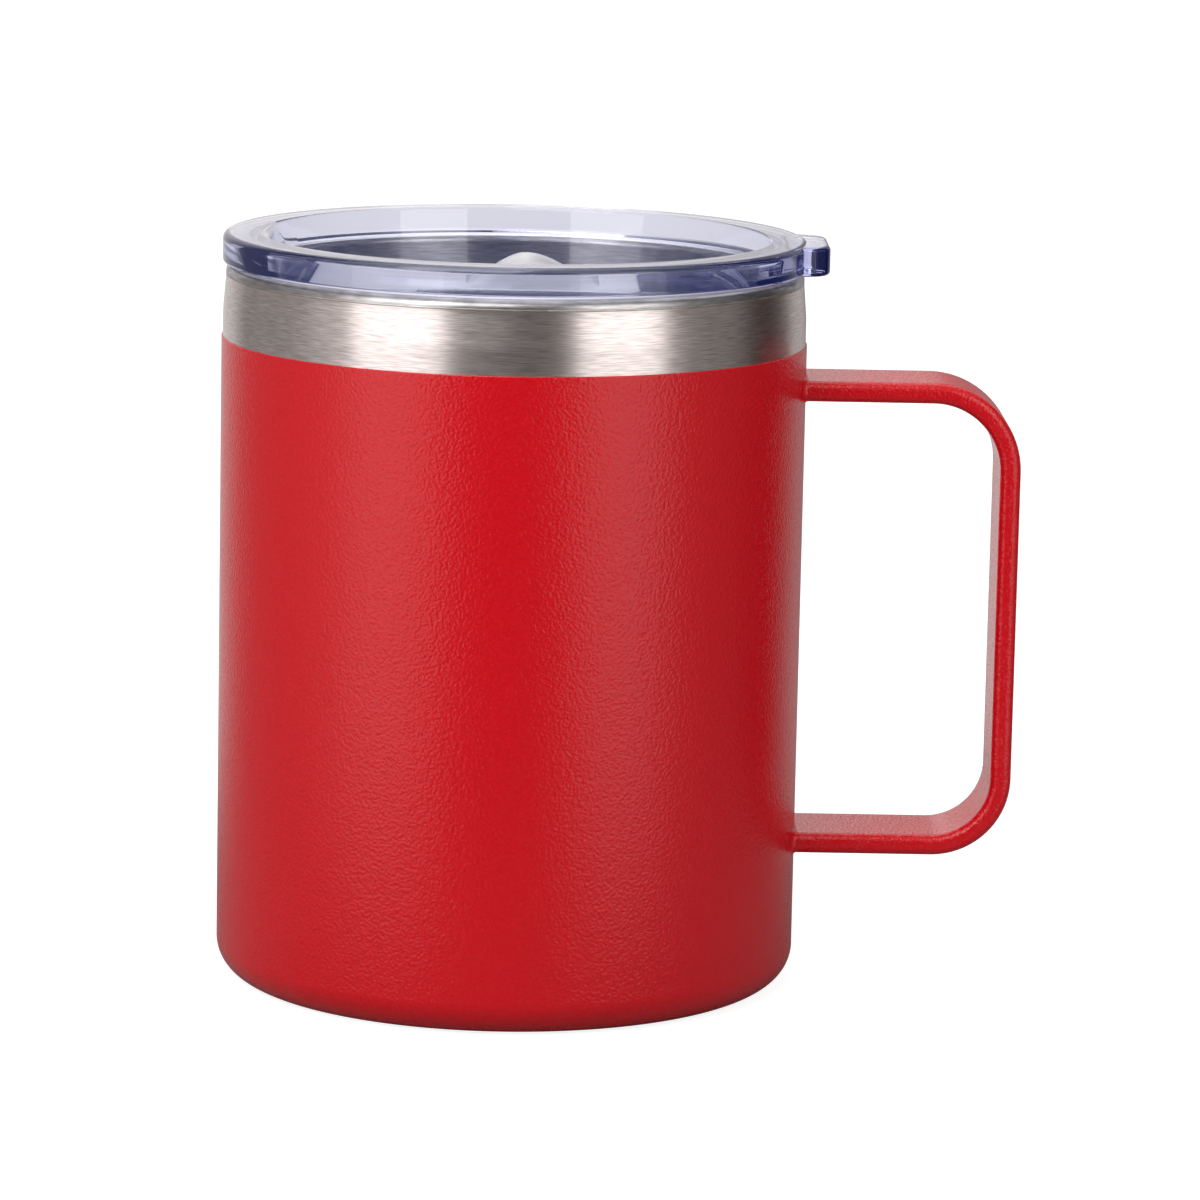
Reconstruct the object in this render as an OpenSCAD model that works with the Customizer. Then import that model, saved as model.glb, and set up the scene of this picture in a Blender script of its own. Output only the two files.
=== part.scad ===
// Insulated travel mug: a double-walled steel cup with a strap handle, and a clear push-in lid
// whose slide closure opens a drinking slot. The origin is on the cup's axis at the foot ring,
// +Z is up and +X points to the handle. Millimetres.

/* [Cup] */
// Outside diameter of the coated cup
cup_d = 85; // [80:0.5:90]
// Height of the cup's lip above its foot
cup_h = 104.7; // [100:0.1:115]
// Height at which the powder coat ends and the bare steel band begins
coat_top = 94.2; // [92:0.1:96]
// Thickness of the powder coat
coat_t = 0.2; // [0.1:0.05:0.3]
// Thickness of the steel sheet of both walls
steel_t = 0.5; // [0.4:0.05:0.6]
// Width of the evacuated gap between the two walls
vacuum_gap = 1.9; // [1.6:0.1:2.2]
// How far the outer wall is swaged inwards at the mouth
neck_in = 0.4; // [0.3:0.1:0.7]
// Height of the drinking space's floor above the foot
liner_floor_z = 12; // [9:0.5:16]

/* [Base] */
// Outside radius of the rounded base corner
base_corner_r = 5.15; // [4:0.05:6]
// Inside radius of the foot ring
foot_in_r = 34; // [30:0.5:35]
// Depth of the base cap's face inside the foot ring
cap_recess = 1.1; // [0.8:0.1:1.4]

/* [Handle] */
// Width of the strap
strap_w = 15.6; // [12:0.2:20]
// Thickness of the strap
strap_t = 3; // [2.6:0.1:3.4]
// Reach from the cup's wall to the outside of the grip
handle_reach = 31.2; // [28:0.2:38]
// Height of the upper arm's top face
handle_top_z = 89.5; // [84:0.1:91]
// Height of the lower arm's bottom face
handle_bottom_z = 19.8; // [12:0.1:26]
// Outside radius of the upper bend
top_bend_r = 12.9; // [8:0.1:16]
// Outside radius of the lower bend
bottom_bend_r = 11.5; // [8:0.1:16]

/* [Lid] */
// Thickness of the lid's flange above the lip
flange_t = 4.3; // [3.8:0.1:5]
// Width of the flange's flat rim
rim_w = 5.6; // [5.4:0.1:5.8]
// Depth of the well below the rim
well_depth = 10.6; // [10:0.1:11]
// Depth of the plug below the flange
plug_depth = 11.4; // [11:0.1:13]
// Lean of the drinking ramp from upright, in degrees
ramp_lean = 24; // [18:1:26]
// Width of the pull tab
tab_w = 19; // [14:0.5:22]
// Reach of the pull tab past the flange
tab_reach = 2.9; // [2:0.1:4]

/* [Slide closure] */
// Travel of the slider from closed to open
slide_travel = 13; // [9:0.5:13]
// Width of the slider's plate
slider_w = 22; // [20:0.5:24]
// Height of the thumb ridge above the plate
ridge_h = 5.6; // [4:0.1:6]
// Width of the drinking slot across the lid
slot_w = 16; // [12:0.5:17]
// Length of the drinking slot along the slider's travel
slot_l = 6.4; // [5:0.1:7]

/* [Hidden] */
$fn = 96;
// Facets of the cup's wall where a small part is cut to fit it
fine_fn = 360;

steel_color = [0.66, 0.64, 0.63];
weld_color = [0.5, 0.49, 0.49];
coat_color = [0.79, 0.09, 0.13];
copper_color = [0.78, 0.46, 0.3];
getter_color = [0.28, 0.28, 0.3];
clear_color = [0.62, 0.66, 0.86, 0.5];
slider_color = [0.86, 0.86, 0.9, 0.9];
silicone_color = [0.9, 0.91, 0.93];

eps = 0.01;

// Cup, from the outside in
cup_r = cup_d / 2;
steel_r = cup_r - coat_t;
neck_r = steel_r - neck_in;
liner_r = steel_r - 2 * steel_t - vacuum_gap;
lip_r = (neck_r - liner_r) / 2;
lip_center_r = neck_r - lip_r;
lip_center_z = cup_h - lip_r;
weld_h = 0.3;
shell_top_z = lip_center_z - weld_h;
neck_top_z = cup_h - 2;
neck_low_z = cup_h - 6.7;
liner_corner_r = 9;
coat_low_z = 0.4;
foil_gap = 0.15;
foil_t = 0.15;
foil_low_z = liner_floor_z + 10;
foil_top_z = cup_h - 14;

// Base, from the table up
foot_flange_h = 2.4;
cap_t = 0.5;
cap_gap = 0.1;
cap_z = cap_recess + cap_t;
plate_z = cap_z + cap_gap;
plate_t = 0.5;
cap_r = foot_in_r - 0.8;
spun_ring_r = cap_r - 5;
spun_ring_w = 1;
spun_ring_depth = 0.15;
base_bead = 0.6;
dimple_r = 9;
dimple_floor_r = 6;
dimple_h = 1.3;
vent_r = 1;
seal_r = 3.2;
seal_h = 0.9;
getter_r = 4;
getter_h = 1.4;
getter_x = 18;
holder_t = 0.3;

// Handle
strap_edge_r = 1.2;
grip_x = cup_r + handle_reach;
arm_start_x = cup_r - 4;
bead_w = 1.6;
bead_tip = 0.15;
bead_start_x = cup_r - 1.8;
bead_end_x = cup_r + 1.2;

// Lid, from the rim down
lid_r = cup_r - 0.1;
lid_gap = 0.2;
flange_z = cup_h + lid_gap;
rim_z = flange_z + flange_t;
rim_edge_r = 1;
flange_edge_r = 0.5;
well_r = lid_r - rim_w;
well_draft = 1.5;
well_floor_r = well_r - well_draft;
floor_t = 1.6;
floor_z = rim_z - well_depth;
plug_wall = 3;
plug_r = well_floor_r + plug_wall;
plug_z = flange_z - plug_depth;
plug_lead = 0.6;
groove_depth = 1;
groove_h = 4.2;
groove_z = plug_z + 1.7;

// Gasket: a band in the groove with two lips against the liner
gasket_gap = 0.15;
gasket_in_r = plug_r - groove_depth + gasket_gap;
gasket_band_r = plug_r + 0.1;
gasket_lip_r = liner_r - gasket_gap;
gasket_z = groove_z + gasket_gap;
gasket_h = groove_h - 2 * gasket_gap;
lip_root = 0.9;
lip_tip = 0.4;
lip_rise = 0.5;
lip_inset_z = 0.3;

// Drinking ramp, a thin leaning wall across the well
ramp_t = 0.9;
ramp_top_x = well_r - 0.6;
ramp_run = tan(ramp_lean) * well_depth;
ramp_cover = 1;
ramp_bite = 0.3;

// Pull tab
tab_corner_r = 4;
tab_root_x = lid_r - 8;
tab_low_z = flange_z - 0.1;
tab_top_z = rim_z - 0.2;

// Slide closure, along X
run_gap = 0.2;
plate_low_z = floor_z + run_gap;
slider_t = 2;
slider_front_x = -(ramp_top_x - ramp_t - ramp_run) + 0.5;
slider_back_x = 18;
slider_top_z = plate_low_z + slider_t;
slider_corner_r = 3;
ridge_x = 1.5;
ridge_front = 9;
ridge_back = 11;
ridge_half_w = 8;
ridge_steps = 20;
ridge_power = 1.6;
ridge_crown = 0.15;
ridge_shoulder = 0.25;
ridge_shoulder_power = 8;
stem_l = 5;
stem_w = 4.4;
stem_x = 2.5;
stem_low_z = floor_z - floor_t - 2.1;
guide_gap = 0.3;
guide_corner_r = 1;
slot_x = slider_front_x + 0.9 + slot_l / 2;
slot_corner_r = 2.4;
seal_margin = 0.9;
seal_t = 0.7;
seal_gap = 0.1;
seal_clearance = 0.1;
seal_pad_l = slot_l + 2 * seal_margin - 0.6;
seal_pad_w = slot_w + 2 * seal_margin;
retainer_l = 14;
retainer_w = 12;
retainer_t = 1.5;
retainer_gap = 0.25;
retainer_corner_r = 2;
stem_clearance = 0.05;
rail_t = 1.2;
rail_h = 2.2;
rail_gap = 0.3;
rail_front_x = -14;
rail_back_x = 31;
vent_d = 2;
vent_inset = 2.6;
vent_x = well_floor_r - vent_inset;

// A rectangle with true round corners, centred
module rounded_rect(l, w, r) {
  square([l - 2 * r, w], center = true);
  square([l, w - 2 * r], center = true);
  for (sx = [-1, 1], sy = [-1, 1]) {
    translate([sx * (l / 2 - r), sy * (w / 2 - r)]) circle(r);
  }
}

// Half section of a cup with an upright wall and a round base corner
module cup_section(r, corner, low, top) {
  translate([0, low + corner]) square([r, top - low - corner]);
  translate([0, low]) square([r - corner, corner + eps]);
  translate([r - corner, low + corner]) circle(corner);
}

// Half section of the outer wall's outline, swaged inwards at the mouth
module shell_section(inset) {
  r = steel_r - inset;
  top_r = neck_r - inset;
  intersection() {
    cup_section(r, base_corner_r - inset, inset, neck_low_z);
    square([r, neck_low_z]);
  }
  polygon([
    [0, neck_low_z - eps], [r, neck_low_z - eps], [r, neck_low_z],
    [top_r, neck_top_z], [top_r, shell_top_z], [0, shell_top_z]
  ]);
}

module outer_shell() {
  color(steel_color) rotate_extrude() {
    difference() {
      shell_section(0);
      shell_section(steel_t);
      translate([0, shell_top_z - eps]) square([neck_r - steel_t, 1]);
      translate([0, -eps]) square([foot_in_r, steel_t + 2 * eps]);
    }
    translate([foot_in_r, 0]) square([steel_t, foot_flange_h]);
  }
}

module inner_liner() {
  color(steel_color) rotate_extrude() {
    difference() {
      cup_section(liner_r + steel_t, liner_corner_r + steel_t, liner_floor_z - steel_t, lip_center_z);
      cup_section(liner_r, liner_corner_r, liner_floor_z, cup_h);
    }
    intersection() {
      translate([lip_center_r, lip_center_z]) difference() {
        circle(lip_r);
        circle(lip_r - steel_t);
      }
      translate([liner_r - 1, lip_center_z]) square([2 * lip_r + 2, lip_r + 1]);
    }
  }
}

module mouth_weld() {
  color(weld_color) rotate_extrude() {
    translate([neck_r - steel_t, shell_top_z]) square([steel_t, weld_h]);
  }
}

module powder_coat() {
  color(coat_color) difference() {
    rotate_extrude() intersection() {
      difference() {
        cup_section(cup_r, base_corner_r, 0, coat_top + 1);
        cup_section(steel_r, base_corner_r, 0, coat_top + 2);
      }
      translate([0, coat_low_z]) square([cup_r + 1, coat_top - coat_low_z]);
    }
    handle_arms();
  }
}

module radiation_foil() {
  color(copper_color) rotate_extrude() {
    translate([liner_r + steel_t + foil_gap, foil_low_z]) square([foil_t, foil_top_z - foil_low_z]);
  }
}

module outer_base() {
  color(steel_color) rotate_extrude() {
    polygon([
      [vent_r, plate_z + dimple_h], [dimple_floor_r, plate_z + dimple_h],
      [dimple_r, plate_z], [foot_in_r, plate_z], [foot_in_r, plate_z + plate_t],
      [dimple_r, plate_z + plate_t], [dimple_floor_r, plate_z + dimple_h + plate_t],
      [vent_r, plate_z + dimple_h + plate_t]
    ]);
  }
}

module base_weld() {
  color(weld_color) rotate_extrude() {
    polygon([[foot_in_r, plate_z], [foot_in_r - base_bead, plate_z], [foot_in_r, plate_z - base_bead]]);
  }
}

module evacuation_seal() {
  dimple_z = plate_z + dimple_h;
  color(getter_color) {
    translate([0, 0, dimple_z]) cylinder(h = plate_t, r = vent_r);
    translate([0, 0, dimple_z - seal_h]) cylinder(h = seal_h, r1 = seal_r - seal_h, r2 = seal_r);
  }
}

module base_cap() {
  color(steel_color) difference() {
    translate([0, 0, cap_recess]) cylinder(h = cap_t, r = cap_r);
    translate([0, 0, cap_recess - eps]) difference() {
      cylinder(h = spun_ring_depth + eps, r = spun_ring_r + spun_ring_w / 2);
      translate([0, 0, -1]) cylinder(h = 2, r = spun_ring_r - spun_ring_w / 2);
    }
  }
}

module getter_holder() {
  color(steel_color) translate([getter_x, 0, plate_z + plate_t]) difference() {
    cylinder(h = holder_t + getter_h, r = getter_r + 2 * holder_t);
    translate([0, 0, holder_t]) cylinder(h = getter_h + 1, r = getter_r + holder_t);
  }
}

module getter_pill() {
  color(getter_color) translate([getter_x, 0, plate_z + plate_t + holder_t]) {
    cylinder(h = getter_h, r = getter_r);
  }
}

// Cross-section of the strap, thickness along X and width along Y
module strap_section(grow) {
  rounded_rect(strap_t + grow, strap_w + grow, strap_edge_r + grow / 2);
}

// A straight stretch of strap along X, at height z
module strap_arm(x_from, x_to, z) {
  translate([x_from, 0, z]) rotate([0, 90, 0]) rotate([0, 0, 180]) {
    linear_extrude(x_to - x_from) strap_section(0);
  }
}

module handle_arms() {
  strap_arm(arm_start_x, grip_x - top_bend_r, handle_top_z - strap_t / 2);
  strap_arm(arm_start_x, grip_x - bottom_bend_r, handle_bottom_z + strap_t / 2);
}

// A quarter bend of the strap of outside radius r, centred in the XZ plane
module strap_bend(r, x, z, start) {
  translate([x, 0, z]) rotate([90, 0, 0]) rotate([0, 0, start]) {
    rotate_extrude(angle = 90) translate([r - strap_t / 2, 0]) strap_section(0);
  }
}

module handle_strap() {
  grip_low_z = handle_bottom_z + bottom_bend_r;
  grip_top_z = handle_top_z - top_bend_r;
  color(coat_color) {
    difference() {
      handle_arms();
      cylinder(h = cup_h, r = steel_r);
    }
    strap_bend(top_bend_r, grip_x - top_bend_r, grip_top_z, 0);
    translate([grip_x - strap_t / 2, 0, grip_low_z]) {
      linear_extrude(grip_top_z - grip_low_z) strap_section(0);
    }
    strap_bend(bottom_bend_r, grip_x - bottom_bend_r, grip_low_z, -90);
  }
}

// Outline of a weld bead that widens towards the wall, for a strap of the given size
module bead_outline(size) {
  polygon([
    [bead_start_x, size / 2 + bead_w], [bead_end_x, size / 2 + bead_tip],
    [bead_end_x, -size / 2 - bead_tip], [bead_start_x, -size / 2 - bead_w]
  ]);
}

// The coated weld bead around one arm's root, at height z
module handle_weld(z) {
  reach = strap_w + 4 * bead_w;
  difference() {
    intersection() {
      translate([0, reach / 2, z]) rotate([90, 0, 0]) linear_extrude(reach) bead_outline(strap_t);
      translate([0, 0, z - reach / 2]) linear_extrude(reach) bead_outline(strap_w);
    }
    handle_arms();
    cylinder(h = cup_h, r = cup_r, $fn = fine_fn);
  }
}

module handle_weld_top() {
  color(coat_color) handle_weld(handle_top_z - strap_t / 2);
}

module handle_weld_bottom() {
  color(coat_color) handle_weld(handle_bottom_z + strap_t / 2);
}

module lid_gasket() {
  color(silicone_color) rotate_extrude() {
    translate([gasket_in_r, gasket_z]) square([gasket_band_r - gasket_in_r, gasket_h]);
    for (lip_z = [gasket_z + lip_inset_z, gasket_z + gasket_h - lip_root - lip_rise - lip_inset_z]) {
      polygon([
        [gasket_band_r - eps, lip_z], [gasket_lip_r, lip_z + lip_rise],
        [gasket_lip_r, lip_z + lip_rise + lip_tip], [gasket_band_r - eps, lip_z + lip_root]
      ]);
    }
  }
}

// Half section of the flange, with a round upper and lower outer edge
module flange_section() {
  mid_z = flange_z + flange_edge_r;
  translate([well_r, flange_z]) square([lid_r - rim_edge_r - well_r, flange_t]);
  translate([well_r, mid_z]) square([lid_r - well_r, flange_t - flange_edge_r - rim_edge_r]);
  translate([lid_r - rim_edge_r, rim_z - rim_edge_r]) circle(rim_edge_r);
  translate([well_r, flange_z]) square([lid_r - flange_edge_r - well_r, flange_t / 2]);
  translate([lid_r - flange_edge_r, mid_z]) circle(flange_edge_r);
}

// Half section of the plug wall, the well's tapered side and its floor
module plug_section() {
  difference() {
    polygon([
      [well_floor_r, plug_z], [plug_r - plug_lead, plug_z], [plug_r, plug_z + plug_lead],
      [plug_r, flange_z + eps], [well_r + eps, flange_z + eps], [well_r + eps, rim_z],
      [well_r, rim_z], [well_floor_r, floor_z]
    ]);
    translate([plug_r - groove_depth, groove_z]) square([groove_depth + 1, groove_h]);
  }
  translate([0, floor_z - floor_t]) square([well_floor_r + eps, floor_t]);
}

// Radius of the tapered well at height z
function well_r_at(z) = well_floor_r + well_draft * (z - floor_z) / well_depth;

// The part of the well on the drinking side of the ramp's face, shifted back by inset
module ramp_block(inset, low, top) {
  face_top_x = ramp_top_x - ramp_t + inset;
  lean = tan(ramp_lean);
  bite = inset > 0 ? 0 : ramp_bite;
  intersection() {
    rotate([90, 0, 0]) translate([0, 0, -well_r]) linear_extrude(2 * well_r) polygon([
      [-well_r - 1, low], [-face_top_x + lean * (rim_z - low), low],
      [-face_top_x + lean * (rim_z - top), top], [-well_r - 1, top]
    ]);
    translate([0, 0, low]) {
      cylinder(h = top - low, r1 = well_r_at(low) + bite, r2 = well_r_at(top) + bite);
    }
  }
}

module drinking_slot() {
  translate([slot_x, 0, floor_z - floor_t - 1]) {
    linear_extrude(floor_t + 2) rounded_rect(slot_l, slot_w, slot_corner_r);
  }
}

// Slot in the lid's floor for the slider's stem over its whole travel
module guide_slot() {
  guide_l = stem_l + slide_travel + 2 * guide_gap;
  guide_w = stem_w + 2 * guide_gap;
  translate([stem_x + slide_travel / 2, 0, floor_z - floor_t - 1]) {
    linear_extrude(floor_t + 2) rounded_rect(guide_l, guide_w, guide_corner_r);
  }
}

module lid_body() {
  color(clear_color) {
    difference() {
      union() {
        rotate_extrude() {
          flange_section();
          plug_section();
        }
        ramp_block(0, floor_z - eps, rim_z);
      }
      ramp_block(ramp_t, floor_z - floor_t - 1, rim_z - ramp_cover);
      drinking_slot();
      guide_slot();
      translate([vent_x, 0, floor_z - floor_t - 1]) cylinder(h = floor_t + 2, d = vent_d);
    }
    for (side = [-1, 1]) {
      translate([rail_front_x, side * (slider_w / 2 + rail_gap + rail_t / 2) - rail_t / 2, floor_z - eps]) {
        cube([rail_back_x - rail_front_x, rail_t, rail_h + eps]);
      }
    }
    difference() {
      translate([(tab_root_x + lid_r + tab_reach) / 2, 0, tab_low_z]) {
        linear_extrude(tab_top_z - tab_low_z) {
          rounded_rect(lid_r + tab_reach - tab_root_x, tab_w, tab_corner_r);
        }
      }
      translate([0, 0, tab_low_z - 1]) cylinder(h = flange_t + 2, r = lid_r - rim_edge_r);
    }
  }
}

// Height of the thumb ridge at distance s before (-1) or behind (1) its crest
function ridge_z(s) = ridge_h * (1 - pow(abs(s), ridge_power));

// Share of the ridge's height that is left at s of its half width
function ridge_width_share(s) = 1 - ridge_crown * s * s - ridge_shoulder * pow(s, ridge_shoulder_power);

module thumb_ridge() {
  intersection() {
    translate([ridge_x, ridge_half_w, slider_top_z - eps]) rotate([90, 0, 0]) {
      linear_extrude(2 * ridge_half_w) polygon([
        for (i = [-ridge_steps:ridge_steps])
          let (s = i / ridge_steps)
          [s * (s < 0 ? ridge_front : ridge_back), ridge_z(s)]
      ]);
    }
    translate([ridge_x - ridge_front - 1, 0, slider_top_z - 1]) rotate([90, 0, 90]) {
      linear_extrude(ridge_front + ridge_back + 2) polygon([
        [-ridge_half_w, 0], [ridge_half_w, 0],
        for (i = [ridge_steps:-1:-ridge_steps])
          let (s = i / ridge_steps)
          [s * ridge_half_w, 1 + ridge_h * ridge_width_share(s)]
      ]);
    }
  }
}

module slider() {
  color(slider_color) {
    difference() {
      translate([(slider_front_x + slider_back_x) / 2, 0, plate_low_z]) linear_extrude(slider_t) {
        rounded_rect(slider_back_x - slider_front_x, slider_w, slider_corner_r);
      }
      translate([slot_x, 0, plate_low_z - eps]) linear_extrude(seal_t - seal_gap) {
        rounded_rect(seal_pad_l + 2 * seal_clearance, seal_pad_w + 2 * seal_clearance, slot_corner_r);
      }
    }
    thumb_ridge();
    translate([stem_x - stem_l / 2, -stem_w / 2, stem_low_z]) {
      cube([stem_l, stem_w, plate_low_z - stem_low_z + eps]);
    }
  }
}

module slider_seal() {
  color(silicone_color) translate([slot_x, 0, floor_z + seal_gap]) {
    linear_extrude(seal_t - seal_gap) rounded_rect(seal_pad_l, seal_pad_w, slot_corner_r);
  }
}

module slider_retainer() {
  top_z = floor_z - floor_t - retainer_gap;
  color(slider_color) translate([stem_x, 0, top_z - retainer_t]) linear_extrude(retainer_t) {
    difference() {
      rounded_rect(retainer_l, retainer_w, retainer_corner_r);
      square([stem_l + 2 * stem_clearance, stem_w + 2 * stem_clearance], center = true);
    }
  }
}

outer_shell();
inner_liner();
mouth_weld();
powder_coat();
radiation_foil();
outer_base();
base_weld();
evacuation_seal();
base_cap();
getter_holder();
getter_pill();
handle_strap();
handle_weld_top();
handle_weld_bottom();
lid_gasket();
lid_body();
slider();
slider_seal();
slider_retainer();
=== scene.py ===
# %% [markdown]
# # An insulated travel mug
# The real mug is two thin steel cups, one inside the other, welded together at the mouth with the
# air drawn out between them. A bent steel strap is welded on as the handle, a red powder coat is
# baked over the outside, and a clear moulded lid with a silicone ring is pushed into the mouth.
# A slider on the lid opens the drinking slot. The CAD model fixes every place and size, so this
# lesson starts by loading it, and then gives each part its true surface and finish.

# %% Load the frame
import math

import bmesh
import bpy
import numpy as np
from mathutils import Matrix


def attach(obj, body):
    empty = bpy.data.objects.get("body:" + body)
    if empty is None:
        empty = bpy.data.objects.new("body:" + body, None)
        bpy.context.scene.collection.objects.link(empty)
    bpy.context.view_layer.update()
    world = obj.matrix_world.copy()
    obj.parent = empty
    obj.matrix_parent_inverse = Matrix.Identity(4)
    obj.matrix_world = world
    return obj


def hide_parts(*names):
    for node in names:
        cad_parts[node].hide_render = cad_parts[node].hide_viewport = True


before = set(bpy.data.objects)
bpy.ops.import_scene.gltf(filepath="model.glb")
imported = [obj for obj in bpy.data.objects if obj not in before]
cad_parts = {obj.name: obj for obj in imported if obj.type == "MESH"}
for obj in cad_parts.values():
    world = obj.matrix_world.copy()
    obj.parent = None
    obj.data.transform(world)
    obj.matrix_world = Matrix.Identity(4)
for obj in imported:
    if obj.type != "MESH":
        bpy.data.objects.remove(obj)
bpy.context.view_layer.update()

# %% [markdown]
# ## Sizes
# A turned part is known by its radii and heights. They could be typed in again, but then a change
# to the CAD model would leave this scene behind, so they are measured on the CAD nodes. The
# lengths below are in millimetres, which suit a mug, and become metres when a mesh is made.

# %% Measure the CAD nodes
MM = 0.001


def cad_points(node):
    """The vertices of a CAD node as rows of x, y, z in millimetres."""
    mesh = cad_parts[node].data
    flat = np.empty(len(mesh.vertices) * 3, np.float32)
    mesh.vertices.foreach_get("co", flat)
    return flat.reshape(-1, 3).astype(float) / MM


def reach(node, side=None):
    """Smallest and largest distance from the mug's axis, on one side of it if side is given."""
    points = cad_points(node)
    if side is not None:
        points = points[points[:, 0] * side > 0]
    away = np.hypot(points[:, 0], points[:, 1])
    return away.min(), away.max()


def heights(node):
    """Lowest and highest point of a CAD node."""
    return cad_points(node)[:, 2].min(), cad_points(node)[:, 2].max()


coat_r = reach("powder_coat")[1]
coat_low, coat_top = heights("powder_coat")
steel_r = reach("outer_shell")[1]
shell_top = heights("outer_shell")[1]
lip_top = heights("inner_liner")[1]
lip_r = reach("inner_liner")[1]
foot_r = reach("outer_base")[1]
lid_r = reach("lid_body", -1)[1]
plug_low, rim_top = heights("lid_body")
tab_x = cad_points("lid_body")[:, 0].max()
gasket_r = reach("lid_gasket")[1]
cap_low, cap_high = heights("base_cap")
cap_r = reach("base_cap")[1]
print("coat radius", round(coat_r, 2), "lip height", round(lip_top, 2), "rim height", round(rim_top, 2))

# %% [markdown]
# ## Three ways to make a surface
# Nearly every part here is turned, swept or pressed. A turned part is a half section carried
# round the axis, a swept part is a section carried along a path, and a pressed pad is an outline
# carried up. Blender's Screw modifier and bevelled curves could do the first two, but a grid of
# points computed as one array keeps exact control of the fine edge radii, and those small radii
# are what catches the light. Every sharp corner of a section is therefore rounded first.

# %% Round the corners of a section
def rounded(corners, radii, steps=7, support=0.05):
    """An outline whose corners are arcs.

    At a corner with half angle h between its sides, an arc of radius r has its centre r / sin(h)
    away along the bisector and touches the sides r / tan(h) from the corner. One more point on
    each side, a little past the arc, keeps the shading of the flats clean.
    """
    corners, radii = np.array(corners, float), np.array(radii, float)[:, None]
    back, ahead = np.roll(corners, 1, 0) - corners, np.roll(corners, -1, 0) - corners
    back /= np.linalg.norm(back, axis=1, keepdims=True)
    ahead /= np.linalg.norm(ahead, axis=1, keepdims=True)
    half = np.arccos(np.clip((back * ahead).sum(1, keepdims=True), -1, 1)) / 2
    bisector = back + ahead
    bisector /= np.linalg.norm(bisector, axis=1, keepdims=True) + 1e-12
    along = ahead - back
    along /= np.linalg.norm(along, axis=1, keepdims=True) + 1e-12
    centre = corners + bisector * radii / np.sin(half)
    swing = (np.pi / 2 - half) * np.linspace(-1, 1, steps)
    aside = np.sin(swing)[..., None] * along[:, None]
    inward = np.cos(swing)[..., None] * bisector[:, None]
    arc = radii[:, :, None] * (aside - inward)
    touch = radii / np.tan(half) + support * (radii > 0)
    parts = [(corners + back * touch)[:, None], centre[:, None] + arc, (corners + ahead * touch)[:, None]]
    outline = np.concatenate(parts, 1).reshape(-1, 2)
    new = np.linalg.norm(outline - np.roll(outline, 1, 0), axis=1) > 1e-6
    return outline[new]


# %% Turn and press
FACE_RING = 1.6


def turned(section, count=256):
    """A section of (radius, height) carried round Z: x = r cos a, y = r sin a, z = height."""
    angle = np.linspace(0, 2 * np.pi, count, endpoint=False)
    r, z = section[:, :1], section[:, 1:]
    return np.stack([r * np.cos(angle), r * np.sin(angle), z + 0 * angle], -1)


def pressed(outline, low, high, edge=0.3, steps=5):
    """A flat pad: the outline at each height, drawn in by edge * (1 - sin t) where an edge is rounded.

    One more ring on each flat face, a little further in, keeps the shading of the face clean.
    """
    ahead = np.roll(outline, -1, 0) - np.roll(outline, 1, 0)
    normal = np.stack([ahead[:, 1], -ahead[:, 0]], 1)
    normal /= np.linalg.norm(normal, axis=1, keepdims=True)
    turn = np.linspace(0, np.pi / 2, steps)
    bend = edge * (1 - np.sin(turn))
    face_ring = [edge * FACE_RING]
    inset = np.concatenate([face_ring, bend, bend[::-1], face_ring])
    up = edge * (1 - np.cos(turn))
    z = np.concatenate([[low], low + up, high - up[::-1], [high]])
    flat = outline[None] - normal[None] * inset[:, None, None]
    return np.concatenate([flat, np.broadcast_to(z[:, None, None], flat.shape[:2] + (1,))], 2)


def box_outline(x, y, length, width, corner, steps=7):
    """A rectangle about (x, y) with round corners."""
    l, w = length / 2, width / 2
    corners = [(x - l, y - w), (x + l, y - w), (x + l, y + w), (x - l, y + w)]
    return rounded(corners, [corner] * 4, steps)


# %% Put a grid of points into a mesh
def surface(name, grid, closed_rows=True, fill_ends=False, crease=35):
    """One object from a grid of points in millimetres, each four neighbours a face.

    Columns always join up into rings. Rows join up too where the section is a loop. Rings that
    shrink to the axis become poles, because points in one place are merged.
    """
    rows, columns = grid.shape[:2]
    index = np.arange(rows * columns).reshape(rows, columns)
    index = np.hstack([index, index[:, :1]])
    if closed_rows:
        index = np.vstack([index, index[:1]])
    quads = np.stack([index[:-1, :-1], index[1:, :-1], index[1:, 1:], index[:-1, 1:]], -1)
    return solid(name, grid.reshape(-1, 3), quads.reshape(-1, 4), fill_ends, crease)


def solid(name, points, faces, fill_ends=False, crease=35):
    """One object from points in millimetres and faces, with its normals outwards and its ends closed."""
    mesh = bpy.data.meshes.new(name)
    mesh.from_pydata((points * MM).tolist(), [], faces.tolist())
    work = bmesh.new()
    work.from_mesh(mesh)
    bmesh.ops.remove_doubles(work, verts=work.verts, dist=1e-7)
    if fill_ends:
        bmesh.ops.holes_fill(work, edges=[e for e in work.edges if e.is_boundary])
    bmesh.ops.recalc_face_normals(work, faces=work.faces)
    work.to_mesh(mesh)
    work.free()
    piece = bpy.data.objects.new(name, mesh)
    bpy.context.collection.objects.link(piece)
    shade(piece, crease)
    return piece


def shade(piece, crease=35):
    """Smooth shading, broken only where two faces meet at more than the crease angle."""
    mesh = piece.data
    mesh.polygons.foreach_set("use_smooth", np.ones(len(mesh.polygons), bool))
    mesh.set_sharp_from_angle(angle=math.radians(crease))
    print(f"{piece.name}: {len(mesh.vertices)} points, {len(mesh.polygons)} faces")


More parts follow.
